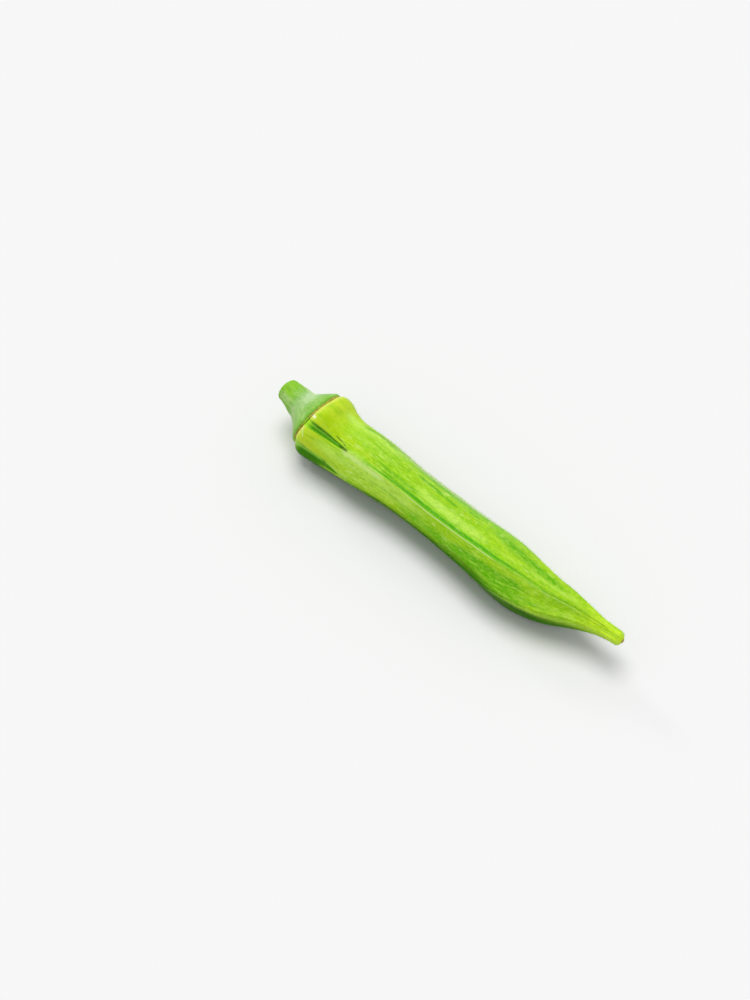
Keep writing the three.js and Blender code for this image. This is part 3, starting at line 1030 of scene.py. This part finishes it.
def cut_stem_finish():
    cut = Finish("cut_stem")
    place = cut.object_place()
    fibre = cut.noise(place, (1, 1, 1), 1.4 / MM, 4, 0.6)
    colour = cut.blend(cut.ramp(fibre, 0.35, 0.7), srgb(206, 220, 150), srgb(228, 232, 190))
    colour = cut.blend(cut.field("bundles"), colour, srgb(142, 178, 82))
    colour = cut.blend(cut.field("rim"), colour, srgb(150, 176, 70))
    cut.set(
        Base_Color=colour,
        Roughness=0.7,
        Normal=cut.relief(fibre, 0.08 * MM),
        Specular_IOR_Level=0.3,
        Subsurface_Weight=0.2,
        Subsurface_Scale=1.0 * MM,
        Subsurface_Radius=(0.8, 1.0, 0.5),
    )
    return cut.material


def fuzz_finish():
    fuzz = Finish("fuzz")
    tint = fuzz.noise(fuzz.object_place(), (1, 1, 1), 0.4 / MM, 2)
    green = fuzz.blend(fuzz.ramp(tint, 0.35, 0.65), srgb(174, 214, 24), srgb(192, 226, 70))
    # Whiter hairs along the upper back side, partly painted sheen. Darker green hairs on the underside,
    # painted shade.
    colour = fuzz.blend(fuzz.ramp(fuzz.field("frost_and_sheen"), 0, 1, 0.12, 1), green, srgb(236, 242, 216))
    colour = fuzz.blend(fuzz.field("shade"), colour, srgb(92, 142, 34))
    fuzz.set(Base_Color=colour, Roughness=0.55, Specular_IOR_Level=0.4)
    return fuzz.material


def put_on(piece, material):
    piece.data.materials.clear()
    piece.data.materials.append(material)
    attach(piece, "root")


# ---- Camera, light and floor ----
def set_camera():
    camera = bpy.data.objects.new("camera", bpy.data.cameras.new("camera"))
    bpy.context.scene.collection.objects.link(camera)
    camera.data.lens = LENS_MM
    camera.location = CAMERA_AT
    camera.rotation_euler = (math.radians(90 - CAMERA_HEIGHT_DEG), 0, math.radians(CAMERA_TURN_DEG))
    bpy.context.scene.camera = camera


def add_sun(name, energy, spread, towards):
    sun = bpy.data.objects.new(name, bpy.data.lights.new(name, "SUN"))
    bpy.context.scene.collection.objects.link(sun)
    sun.data.energy = energy
    sun.data.angle = math.radians(spread)
    sun.rotation_euler = Vector(towards).to_track_quat("Z", "Y").to_euler()


def set_light():
    world = bpy.data.worlds.new("studio")
    world.use_nodes = True
    background = world.node_tree.nodes["Background"]
    background.inputs["Color"].default_value = (1, 1, 1, 1)
    background.inputs["Strength"].default_value = ROOM_LIGHT
    bpy.context.scene.world = world
    add_sun("key", **KEY_LIGHT)
    add_sun("glint", **GLINT_LIGHT)


def lay_floor():
    bpy.ops.object.select_all(action="DESELECT")
    bpy.ops.mesh.primitive_plane_add(size=FLOOR_METRES, location=(0, 0, -FLOOR_GAP * MM))
    floor = bpy.context.active_object
    floor.name = "floor"
    finish = Finish("floor")
    finish.set(Base_Color=(0.8, 0.8, 0.8, 1), Roughness=0.9, Specular_IOR_Level=0.0)
    floor.data.materials.append(finish.material)


bpy.context.scene.view_settings.view_transform = "Standard"
set_camera()
set_light()
lay_floor()

pod_plain, pod_points, pod_fields = pod_form()
cap_plain, cap_points, cap_fields = cap_form()
SHIFT = lay_down([pod_plain, cap_plain])

pod = sleeve("pod_skin", laid(pod_points, SHIFT), pod_fields)
put_on(pod, pod_skin_finish())
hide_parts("pod")

cap = sleeve("cap_skin", laid(cap_points, SHIFT), cap_fields)
put_on(cap, cap_skin_finish())
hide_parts("stem_cap")

CORK = cork_finish()
put_on(scar_ring(SHIFT), CORK)
put_on(style_scar(SHIFT), CORK)
put_on(cut_stem(SHIFT), cut_stem_finish())
place_along = pod_fields["along"] * LENGTH
crest, frost_and_sheen, shade = (pod_fields[name] for name in ("groove", "frost_and_sheen", "underside_shade"))
put_on(fuzz(laid(pod_points, SHIFT), place_along, crest, frost_and_sheen, shade), fuzz_finish())
